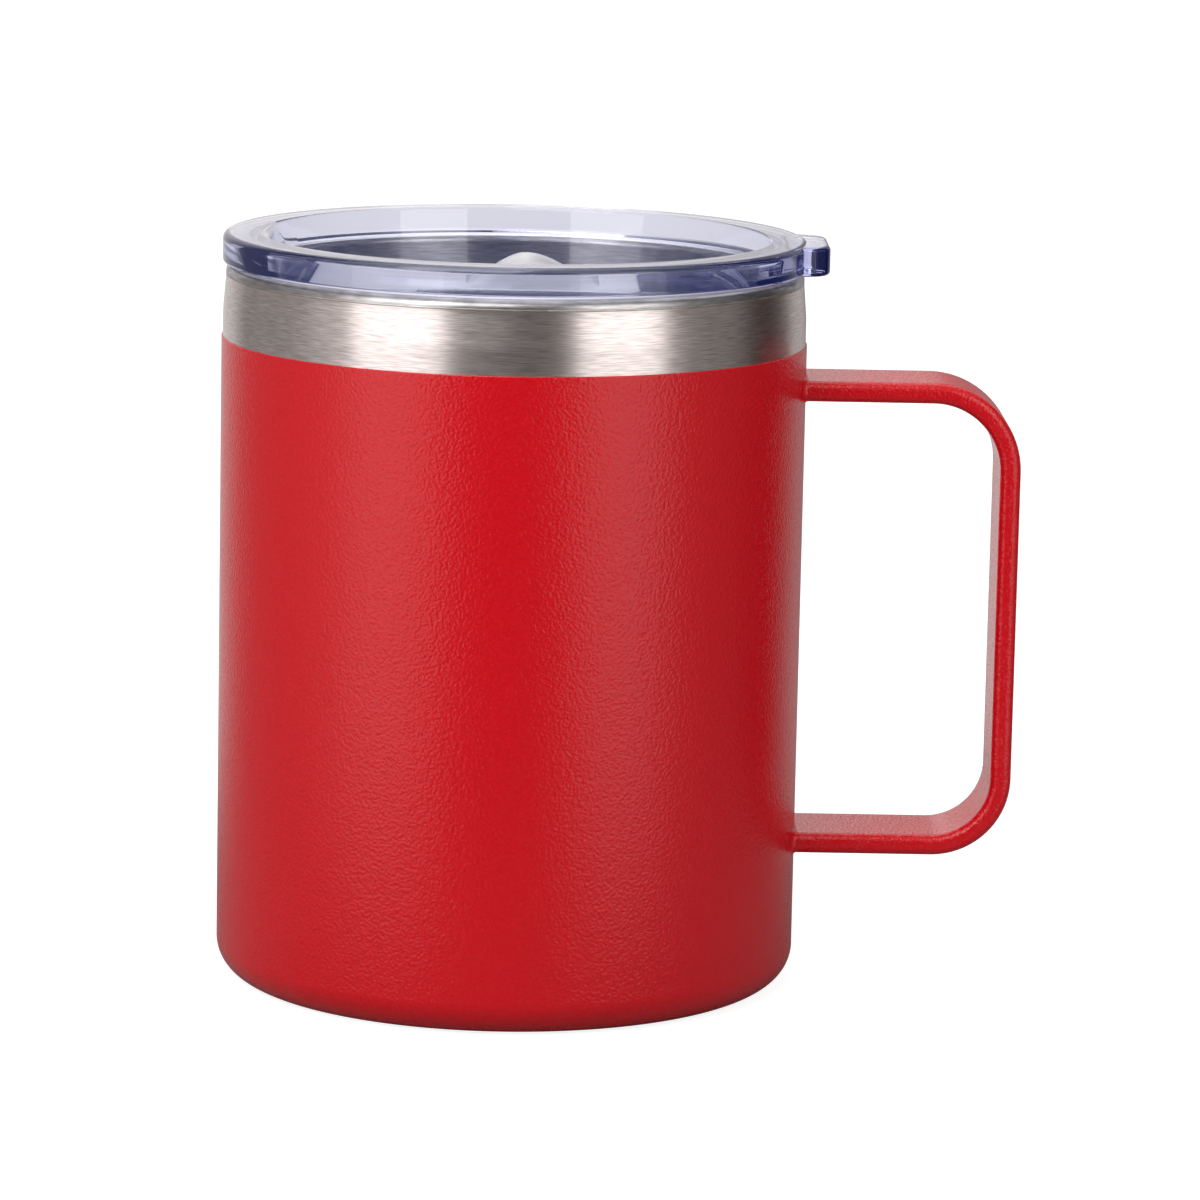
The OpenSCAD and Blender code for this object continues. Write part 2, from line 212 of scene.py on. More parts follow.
def combine(piece, tool, operation):
    """Joins tool to piece, or cuts it away, and keeps only the resulting mesh."""
    modifier = piece.modifiers.new("shape", "BOOLEAN")
    modifier.operation = operation
    modifier.solver = "MANIFOLD"
    modifier.object = tool
    result = piece.evaluated_get(bpy.context.evaluated_depsgraph_get())
    mesh = bpy.data.meshes.new_from_object(result)
    piece.modifiers.clear()
    piece.data = mesh
    bpy.data.objects.remove(tool)


def dress(piece, material, body, slot, *nodes):
    """Gives a piece its finish and its body, and hides the CAD nodes it stands for."""
    piece.data.materials.clear()
    piece.data.materials.append(material)
    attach(piece, body)
    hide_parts(*nodes)


# %% [markdown]
# ## The studio
# The mug stands on a plain pale table that runs out of sight into an equally pale wall. The
# camera is a long lens a little above the mug, tilted down by ten degrees and turned by about one
# degree, because a hand-held camera is never quite level. A long lens keeps the rim a slim
# ellipse. It aims near the middle of the mug and its handle, so no lens shift is needed.

# %% Camera
CAMERA_PITCH = math.radians(10.13)
CAMERA_ROLL = math.radians(1.167)
CAMERA_DISTANCE = 824.4
CAMERA_LENS = 168.75
CAMERA_AIM = (13.2, 0.2, 1.0)
CAMERA_DROP = (0, 0, 0.2)


def looking(position, target, roll=0.0):
    """A turn whose -Z points from position to target and whose +Y stays upright, rolled about the view."""
    back = (position - target) / np.linalg.norm(position - target)
    right = np.cross([0, 0, 1], back)
    right /= np.linalg.norm(right)
    up = np.cross(back, right)
    level = np.column_stack([right, up, back])
    c, s = math.cos(roll), math.sin(roll)
    return level @ np.array([[c, -s, 0], [s, c, 0], [0, 0, 1]])


def place(thing, position, turn):
    """Stands a camera or a lamp at a position in millimetres with a given turn."""
    matrix = np.eye(4)
    matrix[:3, :3], matrix[:3, 3] = turn, np.array(position) * MM
    thing.matrix_world = Matrix(matrix.tolist())


camera = bpy.data.objects.new("camera", bpy.data.cameras.new("camera"))
bpy.context.collection.objects.link(camera)
camera.data.lens = CAMERA_LENS
camera.data.sensor_width = 36
camera.data.clip_start = 0.01
view_back = np.array([0, -math.cos(CAMERA_PITCH), math.sin(CAMERA_PITCH)])
mug_middle = np.array([0, 0, rim_top / 2])
camera_at = mug_middle - CAMERA_DROP + view_back * CAMERA_DISTANCE
camera_aim = mug_middle + CAMERA_AIM
place(camera, camera_at, looking(camera_at, camera_aim, CAMERA_ROLL))
bpy.context.scene.camera = camera
print("camera stands", round(CAMERA_DISTANCE), "mm away")

# %% [markdown]
# ## Light
# Polished and brushed metal shows nothing but its surroundings, so the lights are part of the
# design. Two tall soft boxes stand in front, left and right, and give the steel band its two bright
# uprights and the coat its broad soft sheen. The wall behind is bright, which lights the outlines
# of the mug, and the room in front is dark, which leaves the grey between the uprights. Each soft
# box is a dim lower part and a bright upper part, because the steel mirrors only the lower one,
# while the coat and the lid's leaning well wall also catch the upper one.

# %% Soft boxes
BOX_DISTANCE = 480.0
BOX_TOP = 440.0
BOX_FOOT = -90.0
BOX_SPLIT = 180.0
LOWER_GLOW = 3.1
UPPER_GLOW = 7.4
LAMP_AIM_Z = 60.0


def soft_box(name, azimuth, half_angle, low, high, strength):
    """An upright lamp at an angle from the camera's side, positive towards the handle.

    Its width spans half_angle to either side, and its watts are strength times its area.
    """
    a = math.radians(azimuth)
    width = 2 * BOX_DISTANCE * math.tan(math.radians(half_angle))
    at = np.array([BOX_DISTANCE * math.sin(a), -BOX_DISTANCE * math.cos(a), (low + high) / 2])
    lamp = bpy.data.objects.new(name, bpy.data.lights.new(name, "AREA"))
    bpy.context.collection.objects.link(lamp)
    lamp.data.shape = "RECTANGLE"
    lamp.data.size, lamp.data.size_y = width * MM, (high - low) * MM
    lamp.data.energy = strength * width * (high - low) * MM ** 2
    lamp.visible_camera = False
    place(lamp, at, looking(at, np.array([0, 0, at[2]])))
    print(f"{name}: {lamp.data.energy:.2f} W from {azimuth} degrees")


def overhead(name, at, size, watts):
    """A square lamp above the mug that looks down at it."""
    lamp = bpy.data.objects.new(name, bpy.data.lights.new(name, "AREA"))
    bpy.context.collection.objects.link(lamp)
    lamp.data.size, lamp.data.energy = size * MM, watts
    lamp.visible_camera = False
    place(lamp, np.array(at), looking(np.array(at), np.array([0, 0, LAMP_AIM_Z])))
    print(f"{name}: {watts} W from above")


for side, azimuth, half_angle in (("left", -45, 18.5), ("right", 41, 17)):
    soft_box(side + "_low", azimuth, half_angle, BOX_FOOT, BOX_SPLIT, LOWER_GLOW)
    soft_box(side + "_high", azimuth, half_angle, BOX_SPLIT, BOX_TOP, UPPER_GLOW)
overhead("back_top", (60, 350, 900), 900, 2.3)
overhead("front_top", (-260, -540, 700), 650, 3.9)

# %% [markdown]
# The rest of the room is the world: a colour ramp over the direction's angle round the mug, with 0
# degrees at the camera's side and the handle's side positive. Each stop is a grey, bright
# behind the mug and dark in front, and the ramp gets a little stronger towards the ceiling. Rays
# straight from the camera see plain white instead, which a Light Path node sorts out.

# %% A shader node
def add(tree, kind, sockets=(), **settings):
    """A shader node. A socket is given another node's output, or a plain value."""
    node = tree.nodes.new("ShaderNode" + kind)
    for option, value in settings.items():
        setattr(node, option, value)
    for name, value in dict(sockets).items():
        if isinstance(value, bpy.types.NodeSocket):
            tree.links.new(value, node.inputs[name])
        else:
            node.inputs[name].default_value = value
    return node


# %% The room, as tones all the way round
CEILING = (1.0, 1.25)
WALL_WHITE = 1.3
WARM = (1, 0.97, 0.955)
ROOM_TONES = [
    (-180, 1.10), (-173, 0.86), (-168, 0.76), (-156, 0.68), (-144, 0.58), (-132, 0.26), (-120, 0.33),
    (-104, 0.33), (-92, 0.38), (-84, 0.55), (-68, 0.66), (-62, 0.66), (-28, 0.36), (-22, 0.13), (0, 0.085),
    (18, 0.12), (26, 0.40), (56, 0.56), (62, 0.50), (72, 0.25), (96, 0.22), (108, 0.07), (120, 0.04),
    (132, 0.14), (144, 0.50), (156, 0.50), (168, 0.28), (173, 0.36), (180, 1.10),
]
world = bpy.data.worlds.new("studio")
bpy.context.scene.world = world
world.use_nodes = True
room = world.node_tree
room.nodes.clear()
direction = add(room, "SeparateXYZ", {0: add(room, "TexCoord").outputs["Generated"]})
forward = add(room, "Math", {0: direction.outputs["Y"], 1: -1.0}, operation="MULTIPLY").outputs[0]
bearing = add(room, "Math", {0: direction.outputs["X"], 1: forward}, operation="ARCTAN2").outputs[0]
turn_share = add(room, "MapRange", {"Value": bearing, "From Min": -math.pi, "From Max": math.pi}).outputs[0]
tones = add(room, "ValToRGB", {"Fac": turn_share})
stops = tones.color_ramp.elements
for degrees, _ in ROOM_TONES[1:-1]:
    stops.new((degrees + 180) / 360)
for stop, (_, tone) in zip(stops, ROOM_TONES):
    stop.color = (*(tone * share for share in WARM), 1)
upward = add(room, "MapRange", {"Value": direction.outputs["Z"], "To Min": CEILING[0], "To Max": CEILING[1]})
lit = add(room, "Background", {"Color": tones.outputs["Color"], "Strength": upward.outputs[0]})
white = add(room, "Background", {"Color": (1, 1, 1, 1), "Strength": WALL_WHITE})
seen = add(room, "LightPath").outputs["Is Camera Ray"]
choose = add(room, "MixShader", {0: seen, 1: lit.outputs[0], 2: white.outputs[0]})
add(room, "OutputWorld", {"Surface": choose.outputs[0]})
bpy.context.scene.view_settings.view_transform = "Standard"
print("room has", len(ROOM_TONES), "tones round the mug")

# %% The table
TABLE_R = 9000
TABLE_T = 20
table_section = np.array([(0, 0), (TABLE_R, 0), (TABLE_R, -TABLE_T), (0, -TABLE_T)], float)
table = surface("table", turned(table_section, 64))

# %% [markdown]
# ## Finishes
# Each finish is a Principled shader with a pattern behind its roughness, its colour and its bump.
# Two patterns turn up on several parts, so they are node groups: the fine lines that a belt leaves
# on a spinning steel part, and the grain of a surface. Both read Object coordinates in metres, so
# a pattern keeps its real size on every part.

# %% Node groups
def new_group(name, numbers, outputs):
    """An empty node group with named number inputs, as (name, value), and named number outputs."""
    tree = bpy.data.node_groups.new(name, "ShaderNodeTree")
    for label, value in numbers:
        tree.interface.new_socket(label, in_out="INPUT", socket_type="NodeSocketFloat").default_value = value
    for label in outputs:
        tree.interface.new_socket(label, in_out="OUTPUT", socket_type="NodeSocketFloat")
    return tree, tree.nodes.new("NodeGroupInput"), tree.nodes.new("NodeGroupOutput")


def use_group(tree, group, sockets=()):
    """Places a node group in a material with its own values."""
    node = tree.nodes.new("ShaderNodeGroup")
    node.node_tree = group
    for name, value in dict(sockets).items():
        node.inputs[name].default_value = value
    return node


# %% Group: lines left by brushing a spinning part
BROADER = 3.0


def make_spun_lines():
    """Noise whose place is (x, y) / length and (radius + height) / width, so it runs round the axis.

    The broad lines are the same noise with both lengths BROADER times larger.
    """
    tree, given, out = new_group("spun lines", [("Width", 0.00016), ("Length", 0.02)], ["Fine", "Broad"])
    at = add(tree, "TexCoord").outputs["Object"]
    part = add(tree, "SeparateXYZ", {0: at})
    flat = add(tree, "CombineXYZ", {0: part.outputs[0], 1: part.outputs[1]})
    radius = add(tree, "VectorMath", {0: flat.outputs[0]}, operation="LENGTH").outputs["Value"]
    across = add(tree, "Math", {0: radius, 1: part.outputs[2]}, operation="ADD").outputs[0]
    lines = []
    for factor in (1.0, BROADER):
        long = add(tree, "Math", {0: given.outputs["Length"], 1: factor}, operation="MULTIPLY").outputs[0]
        wide = add(tree, "Math", {0: given.outputs["Width"], 1: factor}, operation="MULTIPLY").outputs[0]
        x = add(tree, "Math", {0: part.outputs[0], 1: long}, operation="DIVIDE").outputs[0]
        y = add(tree, "Math", {0: part.outputs[1], 1: long}, operation="DIVIDE").outputs[0]
        z = add(tree, "Math", {0: across, 1: wide}, operation="DIVIDE").outputs[0]
        place_of = add(tree, "CombineXYZ", {0: x, 1: y, 2: z}).outputs[0]
        noise = add(tree, "TexNoise", {"Vector": place_of, "Scale": 1.0, "Detail": 1.0, "Roughness": 0.4})
        lines.append(noise.outputs["Fac"])
    tree.links.new(lines[0], out.inputs["Fine"])
    tree.links.new(lines[1], out.inputs["Broad"])
    return tree


# %% Group: the grain of a coated or moulded surface
def make_grain():
    """Rounded pimples of a given size, and slow waves of another, both from noise on the place."""
    tree, given, out = new_group("grain", [("Pimple", 0.0006), ("Wave", 0.012)], ["Pimples", "Waves"])
    at = add(tree, "TexCoord").outputs["Object"]
    for label, source, detail in (("Pimples", "Pimple", 1.0), ("Waves", "Wave", 2.0)):
        scale = add(tree, "Math", {0: 1.0, 1: given.outputs[source]}, operation="DIVIDE").outputs[0]
        noise = add(tree, "TexNoise", {"Vector": at, "Scale": scale, "Detail": detail, "Roughness": 0.45})
        tree.links.new(noise.outputs["Fac"], out.inputs[label])
    return tree


spun_lines = make_spun_lines()
grain = make_grain()
print("two pattern groups")


# %% [markdown]
# A number that varies over a surface is mixed from a pattern by a Map Range node, and a height
# becomes a normal in a Bump node. Everything that stays the same over a part is typed straight
# into the shader's own sockets.

# %% A finish
def finish(name, **sockets):
    """A material with one Principled shader. Socket names are given with _ for each space."""
    material = bpy.data.materials.new(name)
    material.use_nodes = True
    tree = material.node_tree
    shader = tree.nodes["Principled BSDF"]
    for socket, value in sockets.items():
        shader.inputs[socket.replace("_", " ")].default_value = value
    return material, tree, shader


def between(tree, pattern, low, high, start=0.3, end=0.7):
    """Low where the pattern is at start, high where it is at end."""
    sockets = {"Value": pattern, "From Min": start, "From Max": end, "To Min": low, "To Max": high}
    return add(tree, "MapRange", sockets).outputs["Result"]


def blend(tree, factor, first, second):
    """A colour between first and second."""
    mix = add(tree, "Mix", {0: factor}, data_type="RGBA")
    for socket, colour in ((6, first), (7, second)):
        mix.inputs[socket].default_value = (*colour, 1)
    return mix.outputs[2]


def bump(tree, height, millimetres, strength=1.0, below=None):
    """A normal tilted by a height that is full at 1."""
    sockets = {"Height": height, "Distance": millimetres * MM, "Strength": strength}
    if below is not None:
        sockets["Normal"] = below
    return add(tree, "Bump", sockets).outputs["Normal"]


# %% [markdown]
# ## Brushed steel
# The outer cup's mouth is bare stainless steel, brushed with a belt while the cup spins, so its
# lines run round it. Lines smear a reflection across themselves and hardly along themselves. The
# shader's anisotropy does that in the large, turned by a quarter because the lines run round,
# and the line pattern in roughness and bump shows the single scratches.

# %% Steel finishes
IN_LINES, OFF_LINES = 0.72, 1.22


def brushed(name, tone, roughness, line_width, smear, depth=0.0006):
    """Steel brushed round the axis: darker and duller in the lines, smeared across them by smear."""
    material, tree, shader = finish(name, Metallic=1.0, Anisotropic=smear, Anisotropic_Rotation=0.25)
    lines = use_group(tree, spun_lines, {"Width": line_width * MM, "Length": 0.0026})
    fine, broad = lines.outputs["Fine"], lines.outputs["Broad"]
    dark = (np.array(tone) * IN_LINES).tolist()
    light = np.minimum(np.array(tone) * OFF_LINES, 1).tolist()
    steel = blend(tree, between(tree, fine, 0, 1, 0.25, 0.75), dark, light)
    tree.links.new(steel, shader.inputs["Base Color"])
    tree.links.new(between(tree, broad, roughness * 0.95, roughness * 1.05), shader.inputs["Roughness"])
    tree.links.new(bump(tree, fine, depth, 0.6), shader.inputs["Normal"])
    return material


brushed_steel = brushed("brushed steel", (0.69, 0.61, 0.59), 0.29, 0.12, 0.75)
# The inside steel's tone is well below the outer steel's: partly its duller satin finish, partly painted
# shade for the inside of the cup.
shaded_satin_steel = brushed("satin steel inside with painted shade", (0.47, 0.45, 0.45), 0.34, 0.25, 0.55)
spun_steel = brushed("spun base steel", (0.66, 0.645, 0.635), 0.30, 0.20, 0.65)
print("steel is brushed with lines about a tenth of a millimetre wide")


# %% [markdown]
# A weld is polished over but keeps a duller, slightly stained surface. It is the same metal with
# a coarse grain in its roughness and its colour. Plain moulded and pressed parts further on use
# the same recipe with other numbers.

# %% Grained finishes, and the weld's
def grained(name, sizes, tones, dullness, relief, follow=("Waves", "Pimples", "Pimples"), **sockets):
    """A finish whose colour, roughness and bump each follow the grain's pimples or its waves.

    sizes are the pimples' and the waves' in metres, tones two colours, dullness two roughnesses,
    and relief is the bump's height in millimetres and its strength.
    """
    material, tree, shader = finish(name, **sockets)
    pattern = use_group(tree, grain, dict(zip(("Pimple", "Wave"), sizes)))
    colour, dull, high = [pattern.outputs[label] for label in follow]
    tree.links.new(blend(tree, between(tree, colour, 0, 1), *tones), shader.inputs["Base Color"])
    tree.links.new(between(tree, dull, *dullness), shader.inputs["Roughness"])
    tree.links.new(bump(tree, high, *relief), shader.inputs["Normal"])
    return material


stains = ((0.42, 0.38, 0.34), (0.62, 0.60, 0.58))
weld_steel = grained("weld steel", (0.0007, 0.006), stains, (0.28, 0.5), (0.04, 1.0), Metallic=1.0)
print("weld finish is grained")

# %% [markdown]
# ## The outer cup
# The outer wall is one drawn cup of half-millimetre sheet: a small round foot corner, an upright
# wall, and a neck drawn in by under a millimetre near the mouth. One turned section makes it,
# with the soft bends of real drawn sheet at the neck.

# %% Outer wall
SHEET = 0.5
FOOT_TURN_UP = 2.4
neck_high, neck_low = lip_top - 2.0, lip_top - 6.7
foot_corner = 5.15
wall_corners = [
    (foot_r, 0), (steel_r, 0), (steel_r, neck_low), (lip_r, neck_high), (lip_r, shell_top),
    (lip_r - SHEET, shell_top), (lip_r - SHEET, neck_high), (steel_r - SHEET, neck_low),
    (steel_r - SHEET, SHEET), (foot_r + SHEET, SHEET), (foot_r + SHEET, FOOT_TURN_UP), (foot_r, FOOT_TURN_UP),
]
wall_radii = [0.2, foot_corner, 20, 6, 0, 0, 5.5, 20, foot_corner - SHEET, 0, 0.1, 0.1]
wall_steel = surface("wall_steel", turned(rounded(wall_corners, wall_radii, 10), 320))
dress(wall_steel, brushed_steel, "cup", "brushed_steel", "outer_shell")

# %% Inner cup with its rolled lip, and the seam between the cups
liner_in = gasket_r + 0.15
curl = (lip_r - liner_in) / 2
liner_out = liner_in + SHEET
floor_high = 12.0
curl_z = lip_top - curl
liner_corners = [
    (0, floor_high - SHEET), (liner_out, floor_high - SHEET), (liner_out, lip_top - SHEET),
    (lip_r - SHEET, lip_top - SHEET), (lip_r - SHEET, curl_z), (lip_r, curl_z),
    (lip_r, lip_top), (liner_in, lip_top), (liner_in, floor_high), (0, floor_high),
]
liner_radii = [0, 9.5, curl - 0.56, curl - 0.56, 0, 0, curl - 0.06, curl - 0.06, 9, 0]
liner_steel = surface("liner_steel", turned(rounded(liner_corners, liner_radii, 12), 320))
# The liner's darker steel tone is partly painted shade inside the cup.
dress(liner_steel, shaded_satin_steel, "cup", "brushed_steel", "inner_liner")
seam_low, seam_high = heights("mouth_weld")
seam_corners = [(lip_r - SHEET, seam_low), (lip_r, seam_low), (lip_r, seam_high), (lip_r - SHEET, seam_high)]
mouth_seam = surface("mouth_seam", turned(rounded(seam_corners, [0, 0.1, 0.1, 0]), 320))
dress(mouth_seam, weld_steel, "cup", "weld_steel", "mouth_weld")

# %% [markdown]
# ## Powder coat
# Powder is sprayed on dry, held by a static charge, and melted in an oven. It flows into a tough
# layer a fifth of a millimetre thick with a fine pimpled skin, like an orange's, that breaks up the
# highlights. Its upper edge is a clean masked line. The layer is a turned section of its own, just
# outside the steel, with a softly rounded edge where the melted powder pulled back from the mask.

# %% Coat finish
def coated(name):
    """Red powder coat: pimples under half a millimetre wide over slow waves, duller on the pimples."""
    material, tree, shader = finish(name, IOR=1.5, Specular_IOR_Level=0.42)
    pattern = use_group(tree, grain, {"Pimple": 0.00044, "Wave": 0.009})
    pimples, waves = pattern.outputs["Pimples"], pattern.outputs["Waves"]
    red = blend(tree, between(tree, pimples, 0, 1, 0.2, 0.8), COAT_DEEP, COAT_BRIGHT)
    tree.links.new(red, shader.inputs["Base Color"])
    tree.links.new(between(tree, pimples, 0.19, 0.26), shader.inputs["Roughness"])
    slow = bump(tree, waves, 0.03, 0.5)
    tree.links.new(bump(tree, pimples, 0.10, 1.0, slow), shader.inputs["Normal"])
    return material


COAT_DEEP = (0.545, 0.0030, 0.0085)
COAT_BRIGHT = (0.60, 0.0036, 0.0105)
red_coat = coated("red powder coat")
print("coat is red with pimples just under half a millimetre across")

# %% Coat on the cup
def coat_section():
    """Up the outside: the foot corner's arc, the wall, a small rounded top edge, then down inside."""
    centre_out, centre_in = coat_r - foot_corner, steel_r - foot_corner
    low_angle = -math.asin((foot_corner - coat_low) / foot_corner)
    angle = np.linspace(low_angle, 0, 28)
    arc = np.stack([np.cos(angle), np.sin(angle)], 1) * foot_corner
    outer = arc + [centre_out, foot_corner]
    edge = (coat_r - steel_r) * 0.8
    turn = np.linspace(0, np.pi / 2, 5)
    top = np.stack([coat_r - edge * (1 - np.cos(turn)), coat_top - edge * (1 - np.sin(turn))], 1)
    skin = 0.01
    inner = np.array([(steel_r + skin, coat_top), (steel_r + skin, foot_corner)])
    under = (arc + [centre_in + skin, foot_corner])[::-1][1:]
    return np.concatenate([outer, [(coat_r, coat_top - edge - 0.1)], top, inner, under])


coat = surface("coat", turned(coat_section(), 320), crease=60)
dress(coat, red_coat, "cup", "red_coat", "powder_coat")

# %% [markdown]
# ## Handle
# The handle is a flat steel strap, three millimetres thick with softly rounded edges, bent twice
# on a former and welded to the wall before coating. It is a section swept along a path of two
# straight arms, two quarter bends and a straight grip. The ends follow the round wall, so the
# first and last rings are pulled in to the cylinder row by row.

# %% Strap measurements
strap = cad_points("handle_strap")
strap_low, strap_high = strap[:, 2].min(), strap[:, 2].max()
strap_w = strap[:, 1].max() * 2
grip_x = strap[:, 0].max()
STRAP_T = 3.0
STRAP_EDGE = 1.2
TOP_BEND, BOTTOM_BEND = 12.9, 11.5
print("strap", round(strap_w, 1), "wide, grip at", round(grip_x, 1))


# %% Strap
def strap_grid():
    """Section point (t, y) at path point p with outward normal n gives p + n t, y.

    On the arms the path runs along X and its first point sits on the wall at the section's own y.
    """
    half = STRAP_T / 2
    side = strap_w / 2
    section = rounded([(-half, -side), (half, -side), (half, side), (-half, side)], [STRAP_EDGE] * 4, 8)
    top_c = np.array([grip_x - TOP_BEND, strap_high - TOP_BEND])
    low_c = np.array([grip_x - BOTTOM_BEND, strap_low + BOTTOM_BEND])
    turn = np.linspace(0, np.pi / 2, 28)
    top_n = np.stack([np.sin(turn), np.cos(turn)], 1)
    low_n = np.stack([np.cos(turn), -np.sin(turn)], 1)
    path = np.concatenate([top_c + top_n * (TOP_BEND - half), low_c + low_n * (BOTTOM_BEND - half)])
    normal = np.concatenate([top_n, low_n])
    t, y = section[:, 0], section[:, 1]
    middle = path[:, None, :] + normal[:, None, :] * t[None, :, None]
    wall = np.sqrt(steel_r ** 2 - y ** 2)
    share = np.linspace(0, 1, 12)[:, None]
    arms = []
    for corner_row, z in ((middle[0], strap_high - half + t), (middle[-1], strap_low + half - t)):
        x = wall + (corner_row[:, 0] - wall) * share
        arms.append(np.stack([x, np.broadcast_to(z, x.shape)], -1))
    rows = np.concatenate([arms[0][:-1], middle, arms[1][::-1][1:]])
    return np.stack([rows[..., 0], np.broadcast_to(y, rows.shape[:2]), rows[..., 1]], -1)


strap_piece = surface("strap", strap_grid(), closed_rows=False, fill_ends=True)
dress(strap_piece, red_coat, "cup", "red_coat", "handle_strap")

# %% [markdown]
# Each arm is welded all round, and the coat flows into the weld, so the strap grows out of the
# wall with a small hollow fillet. A ring of points round the strap's outline, carried along a
# quarter circle from the wall to the strap, is closed on its hidden side inside the steel.

# %% Weld fillets
def fillet_grid(z, width=0.7, sink=0.25):
    """Outline point p with outward normal n gives p + n d, at a height h over the wall.

    On the fillet d = w (1 - sin t) and h = w (1 - cos t); the way back runs inside the strap.
    """
    outline = box_outline(0, z, strap_w, STRAP_T, STRAP_EDGE, 8)
    ahead = np.roll(outline, -1, 0) - np.roll(outline, 1, 0)
    normal = np.stack([ahead[:, 1], -ahead[:, 0]], 1)
    normal /= np.linalg.norm(normal, axis=1, keepdims=True)
    turn = np.linspace(0, np.pi / 2, 9)
    d = np.concatenate([width * (1 - np.sin(turn)), [-0.15, -0.15, width]])
    h = np.concatenate([width * (1 - np.cos(turn)), [width, -sink, -sink]])
    flat = outline[None] + normal[None] * d[:, None, None]
    wall = np.sqrt(coat_r ** 2 - flat[..., 0] ** 2)
    return np.stack([wall + h[:, None], flat[..., 0], flat[..., 1]], -1)


for label, arm_z, node in (("fillet_top", strap_high - STRAP_T / 2, "handle_weld_top"),
                           ("fillet_bottom", strap_low + STRAP_T / 2, "handle_weld_bottom")):
    fillet = surface(label, fillet_grid(arm_z))
    dress(fillet, red_coat, "cup", "red_coat", node)

# %% [markdown]
# ## Base
# A thin steel disc is glued into the foot to cover the seal of the vacuum. It is turned on a
# lathe-like brush too, so its lines are circles, and it carries one shallow pressed ring.

# %% Base disc
RING_R = cap_r - 5
RING_DEPTH = 0.15
disc_corners = [
    (0, cap_low), (RING_R - 0.7, cap_low), (RING_R - 0.35, cap_low + RING_DEPTH),
    (RING_R + 0.35, cap_low + RING_DEPTH), (RING_R + 0.7, cap_low), (cap_r, cap_low),
    (cap_r, cap_high), (0, cap_high),
]
base_disc = surface("base_disc", turned(rounded(disc_corners, [0, 0.3, 0.15, 0.15, 0.3, 0.2, 0.1, 0]), 256))
dress(base_disc, spun_steel, "cup", "brushed_steel", "base_cap")

# %% [markdown]
# ## Parts inside the vacuum
# Nobody sees these in use, but a cut through the mug would show them. Their CAD shapes are right
# as they are, so they stay and only get finishes: copper foil that turns back heat, the base
# plate, its weld and glass-hard seal, and the getter pill that soaks up stray gas.

# %% Hidden parts
coppers = ((0.72, 0.36, 0.22), (0.88, 0.50, 0.34))
foil = grained("copper foil", (0.0025, 0.02), coppers, (0.15, 0.32), (0.12, 1.0), Metallic=1.0)
greys = ((0.07, 0.07, 0.075), (0.16, 0.155, 0.15))
pill = grained("getter", (0.0004, 0.003), greys, (0.5, 0.75), (0.03, 1.0),
               follow=("Pimples", "Waves", "Pimples"), Metallic=0.6)
HIDDEN = {
    "radiation_foil": foil, "outer_base": spun_steel, "base_weld": weld_steel,
    "evacuation_seal": pill, "getter_holder": spun_steel, "getter_pill": pill,
}
for node, material in HIDDEN.items():
    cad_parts[node].data.materials.clear()
    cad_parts[node].data.materials.append(material)
print("finished", len(HIDDEN), "hidden parts")

# %% [markdown]
# ## Lid
# The lid is moulded in one shot from clear plastic with a faint blue tint, made to look whiter
# than clear plastic's own yellow. The tint comes from the depth of plastic that light crosses, so
# long edges look deep blue while thin walls look clear. A Volume Absorption node gives exactly
# that, which a tinted surface can't. A trace of blue glow is painted light: it lifts the dark edges
# to blue and stands for light scattered inside.

# %% Clear plastic
TINT_DENSITY = 40.0
# The faint blue emission is painted light: the plastic glows a little, which lifts its dark edges to blue.
clear, tree, shader = finish("clear plastic", Transmission_Weight=1.0, IOR=1.49, Metallic=0.0,
                             Base_Color=(0.98, 0.98, 0.985, 1), Emission_Color=(0.10, 0.17, 1.0, 1),
                             Emission_Strength=0.011)
pattern = use_group(tree, grain, {"Pimple": 0.0035, "Wave": 0.014})
tree.links.new(between(tree, pattern.outputs["Waves"], 0.012, 0.045), shader.inputs["Roughness"])
tree.links.new(bump(tree, pattern.outputs["Waves"], 0.05, 0.35), shader.inputs["Normal"])
absorb = add(tree, "VolumeAbsorption", {"Color": (0.16, 0.24, 0.80, 1), "Density": TINT_DENSITY})
tree.links.new(absorb.outputs[0], tree.nodes["Material Output"].inputs["Volume"])
print("lid plastic tints light over about", round(1000 / TINT_DENSITY), "mm")

# %% [markdown]
# The lid's shell is a turned section: a flat rim with rounded edges, the tapered well, its floor
# and the grooved plug below. The pull tab, the leaning drinking ramp and the two guide rails are
# solids of their own, joined on so that light sees one body of plastic, and the slots are cut
# through. The ramp stays open from below, which keeps its wall thin enough to mould.

# %% Lid shell
FLANGE_T = 4.3
FLOOR_T = 1.6
RIM_W = 5.6
WELL_DRAFT = 1.5
WELL_DEPTH = 10.6
PLUG_WALL = 3.0
GROOVE, GROOVE_H, GROOVE_UP = 1.0, 4.2, 1.7
flange_low = rim_top - FLANGE_T
well_r = lid_r - RIM_W
well_floor_r = well_r - WELL_DRAFT
floor_top = rim_top - WELL_DEPTH
plug_r = well_floor_r + PLUG_WALL
groove_low = plug_low + GROOVE_UP
groove_high = groove_low + GROOVE_H
shell_corners = [
    (0, floor_top - FLOOR_T), (well_floor_r, floor_top - FLOOR_T), (well_floor_r, plug_low),
    (plug_r - 0.3, plug_low), (plug_r, plug_low + 0.6), (plug_r, groove_low), (plug_r - GROOVE, groove_low),
    (plug_r - GROOVE, groove_high), (plug_r, groove_high), (plug_r, flange_low), (lid_r, flange_low),
    (lid_r, rim_top), (well_r, rim_top), (well_floor_r, floor_top), (0, floor_top),
]
shell_radii = [0, 0.5, 0.3, 0.4, 0.5, 0.15, 0.15, 0.15, 0.15, 0.3, 0.5, 1.0, 0.45, 0.8, 0]
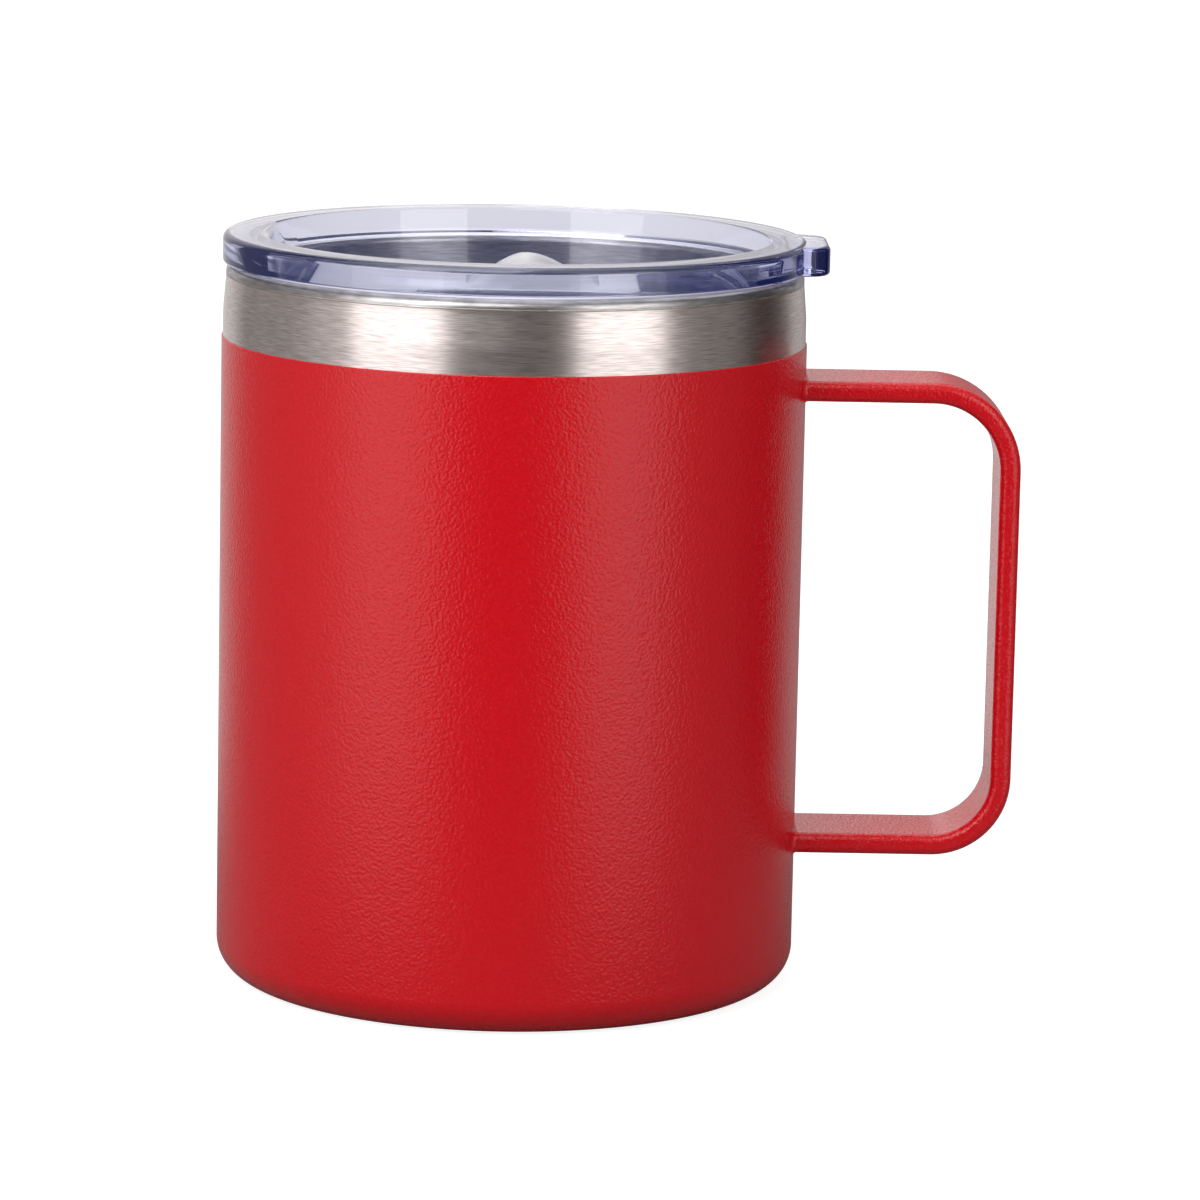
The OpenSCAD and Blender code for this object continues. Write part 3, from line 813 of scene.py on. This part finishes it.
lid_shell = surface("lid_shell", turned(rounded(shell_corners, shell_radii, 8), 320))


# %% Pull tab
def pad(name, outline, low, high, edge=0.0):
    """A solid with one outline from low to high, its two rims rounded by edge."""
    return surface(name, pressed(outline, low, high, edge), closed_rows=False, fill_ends=True)


TAB_W = 19.0
TAB_CORNER = 4.0
TAB_ROOT = 4.0
tab_start = lid_r - TAB_ROOT
tab_half = TAB_W / 2
tab_corners = [(tab_start, -tab_half), (tab_x, -tab_half), (tab_x, tab_half), (tab_start, tab_half)]
tab_outline = rounded(tab_corners, [0.5, TAB_CORNER, TAB_CORNER, 0.5], 14)
combine(lid_shell, pad("tab", tab_outline, flange_low - 0.1, rim_top - 0.2, 0.6), "UNION")


# %% Drinking ramp and the pocket behind it
RAMP_LEAN = 24
RAMP_T = 0.9
BITE = 0.3


def ramp_prism(name, face_x, low, high, bite):
    """The part of the well's cone, wider by bite, between a leaning face and the lid's front.

    The face stands at x = -face_x at the rim and leans in by tan(RAMP_LEAN) per millimetre down.
    """
    lean = math.tan(math.radians(RAMP_LEAN))
    draft = (well_r - well_floor_r) / (rim_top - floor_top)
    share = np.linspace(0, 1, 49)
    rows = []
    for z in (low, high):
        radius = well_floor_r + bite + draft * (z - floor_top)
        x = -face_x + lean * (rim_top - z)
        start = math.acos(x / radius)
        swing = start + (2 * np.pi - 2 * start) * share
        arc = np.stack([radius * np.cos(swing), radius * np.sin(swing)], 1)
        chord = arc[-1] + (arc[0] - arc[-1]) * np.linspace(0, 1, 9)[1:-1, None]
        loop = np.concatenate([arc, chord])
        rows.append(np.column_stack([loop, np.full(len(loop), z)]))
    return surface(name, np.stack(rows), closed_rows=False, fill_ends=True)


ramp_face = well_r - 0.6 - RAMP_T
combine(lid_shell, ramp_prism("ramp", ramp_face, floor_top - BITE, rim_top - 0.02, BITE), "UNION")
pocket = ramp_prism("pocket", ramp_face + RAMP_T, floor_top - FLOOR_T - 1, rim_top - 1, 0)
combine(lid_shell, pocket, "DIFFERENCE")

# %% Rails, slots and vent
PLATE_W = cad_points("slider")[:, 1].max() * 2
RAIL_X, RAIL_L, RAIL_W, RAIL_H = 8.5, 45, 1.2, 2.2
RAIL_GAP = 0.3
SLOT_L, SLOT_W, SLOT_CORNER = 6.4, 16, 2.4
SLOT_COVER = 0.9
GUIDE_X, GUIDE_L, GUIDE_W = 9, 18.6, 5
VENT_IN, VENT_W = 2.6, 2
rail_y = PLATE_W / 2 + RAIL_GAP + RAIL_W / 2
for side in (-1, 1):
    rail_outline = box_outline(RAIL_X, side * rail_y, RAIL_L, RAIL_W, 0.5)
    combine(lid_shell, pad("rail", rail_outline, floor_top - 0.5, floor_top + RAIL_H, 0.25), "UNION")
slider_front = cad_points("slider")[:, 0].min()
slot_x = slider_front + SLOT_COVER + SLOT_L / 2
HOLES = {
    "drinking_slot": box_outline(slot_x, 0, SLOT_L, SLOT_W, SLOT_CORNER, 10),
    "guide_slot": box_outline(GUIDE_X, 0, GUIDE_L, GUIDE_W, 1.0),
    "vent": box_outline(well_floor_r - VENT_IN, 0, VENT_W, VENT_W, VENT_W / 2 - 0.01, 9),
}
for name, outline in HOLES.items():
    combine(lid_shell, pad(name, outline, floor_top - FLOOR_T - 1, floor_top + 1), "DIFFERENCE")
shade(lid_shell, 30)
dress(lid_shell, clear, "lid", "clear_plastic", "lid_body")

# %% [markdown]
# ## Silicone ring
# The ring is soft, milky silicone: a band in the plug's groove with two thin lips that bend
# against the inner cup. Light enters it a little way, so it has subsurface scattering and no gloss.

# %% Gasket
milks = ((0.72, 0.74, 0.78), (0.82, 0.84, 0.87))
silicone = grained("silicone", (0.0004, 0.005), milks, (0.42, 0.6), (0.01, 1.0), IOR=1.41,
                   Subsurface_Weight=0.5, Subsurface_Scale=0.002, Subsurface_Radius=(1.0, 0.95, 0.9))
LIP_TIP_LOW, LIP_TIP_HIGH = 0.5, 0.9
gasket_low, gasket_high = heights("lid_gasket")
gasket_in = reach("lid_gasket")[0]
band_r = plug_r + 0.1
lips = (gasket_low + 0.3, gasket_high - 1.7)
gasket_corners = [(gasket_in, gasket_low), (band_r, gasket_low)]
for lip_z in lips:
    tip_low, tip_high = lip_z + LIP_TIP_LOW, lip_z + LIP_TIP_HIGH
    gasket_corners += [(band_r, lip_z), (gasket_r, tip_low), (gasket_r, tip_high), (band_r, tip_high)]
gasket_corners += [(band_r, gasket_high), (gasket_in, gasket_high)]
gasket_radii = [0.1, 0.1] + [0.08, 0.18, 0.18, 0.08] * 2 + [0.1, 0.1]
gasket = surface("gasket", turned(rounded(gasket_corners, gasket_radii, 6), 256))
dress(gasket, silicone, "gasket", "silicone", "lid_gasket")

# %% [markdown]
# ## Slider
# The slider is a plate with a thumb ridge, moulded in cloudy clear plastic. Its stem goes down
# through the floor's guide slot to a clip below. The ridge's height is one formula over the plate:
# along the travel a rounded crest with two nearly straight flanks, times a flat-topped dome
# across it, so that the crest rolls off softly at both ends.

# %% Slider finish
clouds = ((0.56, 0.56, 0.61), (0.64, 0.64, 0.69))
cloudy = grained("cloudy plastic", (0.003, 0.012), clouds, (0.12, 0.2), (0.05, 0.4),
                 follow=("Waves", "Pimples", "Waves"), Transmission_Weight=0.15, IOR=1.49, Metallic=0.0)
print("slider finish is cloudy")

# %% Slider plate, ridge and stem
slider_points = cad_points("slider")
PLATE_T = 2.0
PLATE_GAP = 0.2
STEM_X, STEM_L, STEM_W = 2.5, 5, 4.4
plate_low = floor_top + PLATE_GAP
plate_high = plate_low + PLATE_T
crest = slider_points[:, 2].max() - plate_high
slider_back = slider_points[:, 0][slider_points[:, 2] > plate_low - 0.1].max()
stem_low = slider_points[:, 2].min()
CREST_X, CREST_FRONT, CREST_BACK, CREST_SIDE = 1.5, 9.0, 11.0, 8.0
CREST_ROUND = 0.15


def ridge_grid():
    """Height = crest (1 - bend(s))(1 - 0.12 q^2 - 0.88 q^10), with s along and q across, both -1 to 1.

    bend(s) = ((s^2 + e^2)^0.8 - e^1.6) / ((1 + e^2)^0.8 - e^1.6), with the crest rounded over e.
    """
    s = np.sin(np.linspace(-1, 1, 65) * np.pi / 2)
    q = np.sin(np.linspace(-1, 1, 65) * np.pi / 2)
    x = CREST_X + np.where(s < 0, s * CREST_FRONT, s * CREST_BACK)
    ss, qq = np.meshgrid(s, q, indexing="ij")
    bend = (ss ** 2 + CREST_ROUND ** 2) ** 0.8 - CREST_ROUND ** 1.6
    bend /= (1 + CREST_ROUND ** 2) ** 0.8 - CREST_ROUND ** 1.6
    top = plate_high - 0.3 + (crest + 0.3) * (1 - bend) * (1 - 0.12 * qq ** 2 - 0.88 * qq ** 10)
    xx, yy = np.meshgrid(x, q * CREST_SIDE, indexing="ij")
    return np.stack([xx, yy, top], -1)


def dome(name, grid, bottom):
    """A closed solid under a height grid: the grid on top, its border dropped to a flat bottom."""
    rows, columns = grid.shape[:2]
    low = grid.copy()
    low[..., 2] = bottom
    index = np.arange(rows * columns).reshape(rows, columns)
    corners = [index[:-1, :-1], index[1:, :-1], index[1:, 1:], index[:-1, 1:]]
    top_faces = np.stack(corners, -1).reshape(-1, 4)
    low_faces = top_faces[:, ::-1] + rows * columns
    rim = np.concatenate([index[0], index[1:, -1], index[-1, -2::-1], index[-2:0:-1, 0]])
    side = np.stack([rim, np.roll(rim, -1), np.roll(rim, -1) + rows * columns, rim + rows * columns], -1)
    points = np.concatenate([grid.reshape(-1, 3), low.reshape(-1, 3)])
    return solid(name, points, np.concatenate([top_faces, low_faces, side]))


plate_outline = box_outline((slider_front + slider_back) / 2, 0, slider_back - slider_front, PLATE_W, 3.0, 12)
slide_plate = pad("slide_plate", plate_outline, plate_low, plate_high, 0.45)
combine(slide_plate, dome("ridge", ridge_grid(), plate_high - 1.0), "UNION")
stem_outline = box_outline(STEM_X, 0, STEM_L, STEM_W, 0.4)
combine(slide_plate, pad("stem", stem_outline, stem_low, plate_low + 0.5, 0.3), "UNION")
seat_outline = box_outline(slot_x, 0, 7.8, 18.0, SLOT_CORNER)
combine(slide_plate, pad("seal_seat", seat_outline, plate_low - 0.5, plate_low + 0.6), "DIFFERENCE")
shade(slide_plate, 30)
dress(slide_plate, cloudy, "slider", "slider_plastic", "slider")

# %% Seal pad and retainer clip
pad_outline = box_outline(slot_x, 0, 7.6, 17.8, SLOT_CORNER)
seal_pad = pad("seal_pad", pad_outline, *heights("slider_seal"), 0.15)
dress(seal_pad, silicone, "slider", "silicone", "slider_seal")
clip_low, clip_high = heights("slider_retainer")
clip = pad("clip", box_outline(STEM_X, 0, 14, 12, 2.0), clip_low, clip_high, 0.25)
clip_hole = pad("clip_hole", box_outline(STEM_X, 0, 5.1, 4.5, 0.3), clip_low - 1, clip_high + 1)
combine(clip, clip_hole, "DIFFERENCE")
shade(clip, 30)
dress(clip, cloudy, "slider", "slider_plastic", "slider_retainer")

# %% [markdown]
# ## The table's finish and the last step
# To the camera the table is white paper with only a faint shadow at the foot. What the mug itself
# mirrors is a darker table, as in a studio where black cards lie in front of a shiny object, and
# what shows through the clear lid is a pale grey. A Light Path node tells the three apart. The dark
# card lies only round the foot and fades out, so that the steel mirrors the room past it.

# %% Table finish
PAPER_GLOW = 0.86
CARD_TONE = 0.30
CARD_FADE = (0.08, 0.22)
SEEN_THROUGH = (0.90, 0.87, 0.85)
paper, tree, shader = finish("white paper", Roughness=0.9, Specular_IOR_Level=0.0,
                             Emission_Color=(1, 1, 1, 1), Emission_Strength=PAPER_GLOW)
pattern = use_group(tree, grain, {"Pimple": 0.002, "Wave": 0.05})
tone = blend(tree, between(tree, pattern.outputs["Pimples"], 0, 1), (0.44, 0.44, 0.44), (0.46, 0.46, 0.46))
tree.links.new(tone, shader.inputs["Base Color"])
card = add(tree, "BsdfDiffuse", {"Color": (CARD_TONE, CARD_TONE, CARD_TONE, 1)})
at = add(tree, "TexCoord").outputs["Object"]
away = add(tree, "VectorMath", {0: at}, operation="LENGTH").outputs["Value"]
gone = between(tree, away, 0, 1, *CARD_FADE)
below = add(tree, "BsdfTransparent")
around = add(tree, "MixShader", {0: gone, 1: card.outputs[0], 2: below.outputs[0]})
path = add(tree, "LightPath").outputs
through = add(tree, "Emission", {"Color": (*SEEN_THROUGH, 1)})
bent, direct = path["Is Transmission Ray"], path["Is Camera Ray"]
indirect = add(tree, "MixShader", {0: bent, 1: around.outputs[0], 2: through.outputs[0]})
either = add(tree, "MixShader", {0: direct, 1: indirect.outputs[0], 2: shader.outputs[0]})
tree.links.new(either.outputs[0], tree.nodes["Material Output"].inputs["Surface"])
table.data.materials.append(paper)

# %% Finish
bpy.context.view_layer.update()
